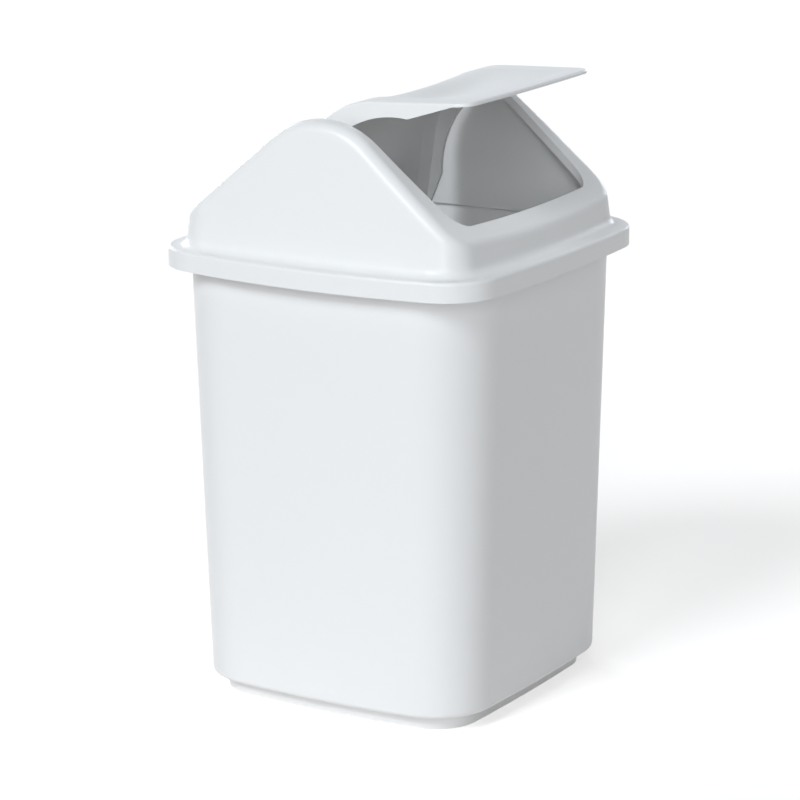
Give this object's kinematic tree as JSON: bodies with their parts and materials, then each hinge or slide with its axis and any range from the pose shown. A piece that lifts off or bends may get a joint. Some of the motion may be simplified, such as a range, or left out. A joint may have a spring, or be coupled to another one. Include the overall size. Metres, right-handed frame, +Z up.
{
  "type": "swing-lid countertop bin",
  "caption": "Tapered countertop waste bin with a gabled lift-off hood and a two-way swing flap hung on pivot pins.",
  "frame": {"origin": "on the surface the bin stands on, under the middle of the bin", "axes": "+Z up; the ridge of the hood and the flap's pivot run along Y; the two mouths face +X and -X, and the gables face +Y and -Y"},
  "size_m": [0.177, 0.182, 0.2924],
  "materials": {
    "bin_plastic": "satin",
    "hood_plastic": "satin",
    "flap_plastic": "satin"
  },
  "bodies": {
    "bin": {"bin_body": "bin_plastic"},
    "hood": {"hood_lid": "hood_plastic"},
    "flap": {"swing_flap": "flap_plastic"}
  },
  "joints": [
    {"name": "hood_lift", "type": "slide", "parent": "bin", "child": "hood", "axis": [0, 0, 1], "range_m": [0, 0.12]},
    {"name": "flap_swing", "type": "hinge", "parent": "hood", "child": "flap", "pos_m": [0, 0, 0.2734], "axis": [0, -1, 0], "range_deg": [-123, 37]}
  ]
}
